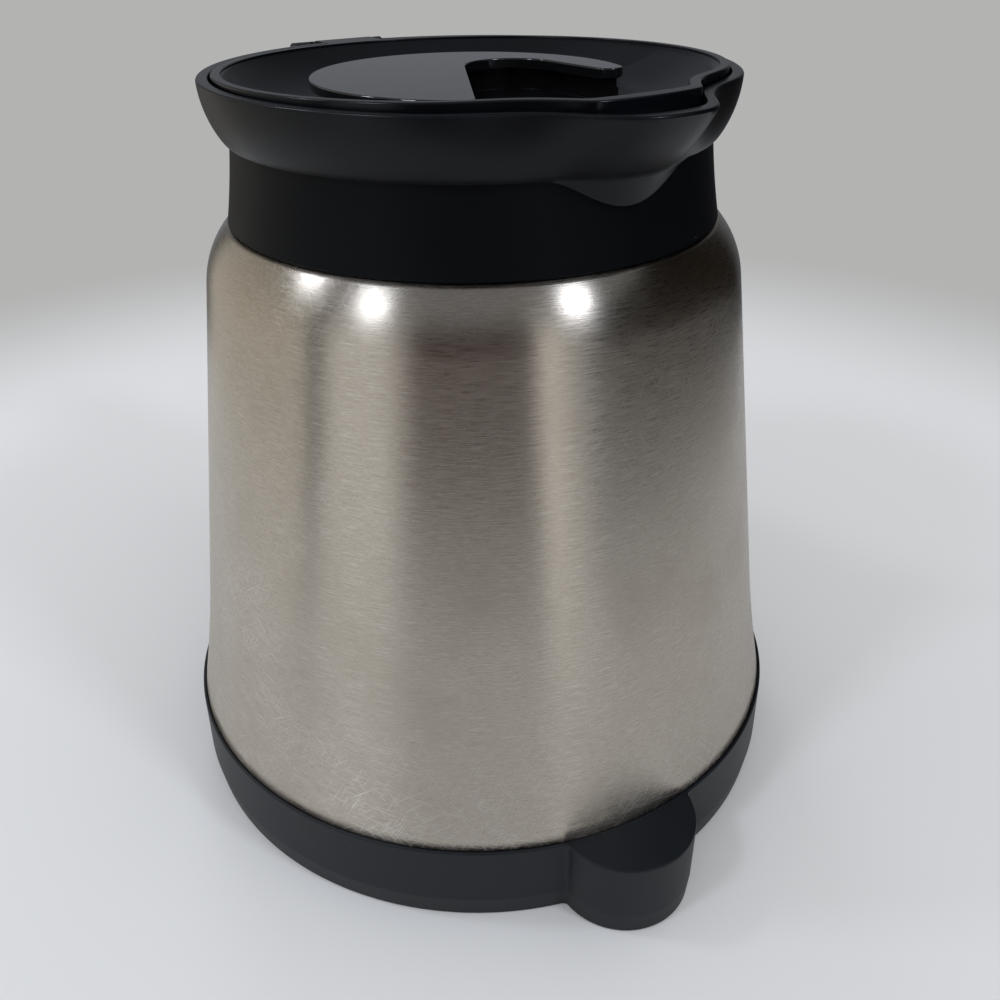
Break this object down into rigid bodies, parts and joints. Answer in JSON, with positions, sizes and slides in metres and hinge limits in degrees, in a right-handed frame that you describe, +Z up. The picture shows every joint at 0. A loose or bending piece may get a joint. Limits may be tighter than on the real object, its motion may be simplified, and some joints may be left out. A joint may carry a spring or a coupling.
{
  "type": "thermal carafe with flip lid",
  "caption": "Brushed steel vacuum carafe with a spouted black bowl, a hinged flip lid with a turning pour dial, a black base ring with a locating lug, and a handle.",
  "frame": {"origin": "centre of the carafe's underside, on the flask's axis, where the rubber pad meets the table", "axes": "+Z up along the flask's axis, +X to the spout, -X to the handle and the lid's hinge, +Y completes the right-handed frame"},
  "size_m": [0.1965, 0.1422, 0.1572],
  "materials": {
    "brushed_shell_steel": "satin",
    "plain_flask_steel": "satin",
    "getter_metal": "matte",
    "braze_metal": "satin",
    "base_plastic": "satin",
    "pad_rubber": "matte",
    "collar_plastic": "satin",
    "bowl_plastic": "satin",
    "bracket_plastic": "satin",
    "handle_plastic": "satin",
    "screw_steel": "satin",
    "pin_steel": "polished",
    "lid_plastic": "satin",
    "plug_plastic": "satin",
    "dial_gloss": "gloss",
    "hub_plastic": "gloss",
    "gasket_silicone": "matte",
    "o_ring_rubber": "matte",
    "foam": "matte"
  },
  "bodies": {
    "carafe": {"outer_shell": "brushed_shell_steel", "inner_flask": "plain_flask_steel", "shell_bottom": "plain_flask_steel", "getter": "getter_metal", "vacuum_seal": "braze_metal", "base_ring": "base_plastic", "base_plate": "base_plastic", "base_pad": "pad_rubber", "base_screws": "screw_steel", "neck_collar": "collar_plastic", "collar_seal": "o_ring_rubber", "pour_bowl": "bowl_plastic", "hinge_bracket": "bracket_plastic", "bracket_screws": "screw_steel", "handle_grip": "handle_plastic", "upper_handle_screw": "screw_steel", "lower_handle_screw": "screw_steel", "hinge_pin": "pin_steel"},
    "lid": {"lid_dish": "lid_plastic", "lid_plug": "plug_plastic", "plug_cover": "plug_plastic", "lid_insulation": "foam", "lid_gasket": "gasket_silicone", "lid_screws": "screw_steel", "dial_o_ring": "o_ring_rubber"},
    "dial": {"dial_plate": "dial_gloss", "dial_hub": "hub_plastic", "dial_washer": "pin_steel", "dial_screw": "screw_steel"}
  },
  "joints": [
    {"name": "lid_hinge", "type": "hinge", "parent": "carafe", "child": "lid", "pos_m": [-0.0575, 0, 0.1525], "axis": [0, -1, 0], "range_deg": [0, 110]},
    {"name": "dial_turn", "type": "hinge", "parent": "lid", "child": "dial", "pos_m": [0, 0, 0.1465], "axis": [0, 0, 1], "range_deg": [0, 90]}
  ]
}
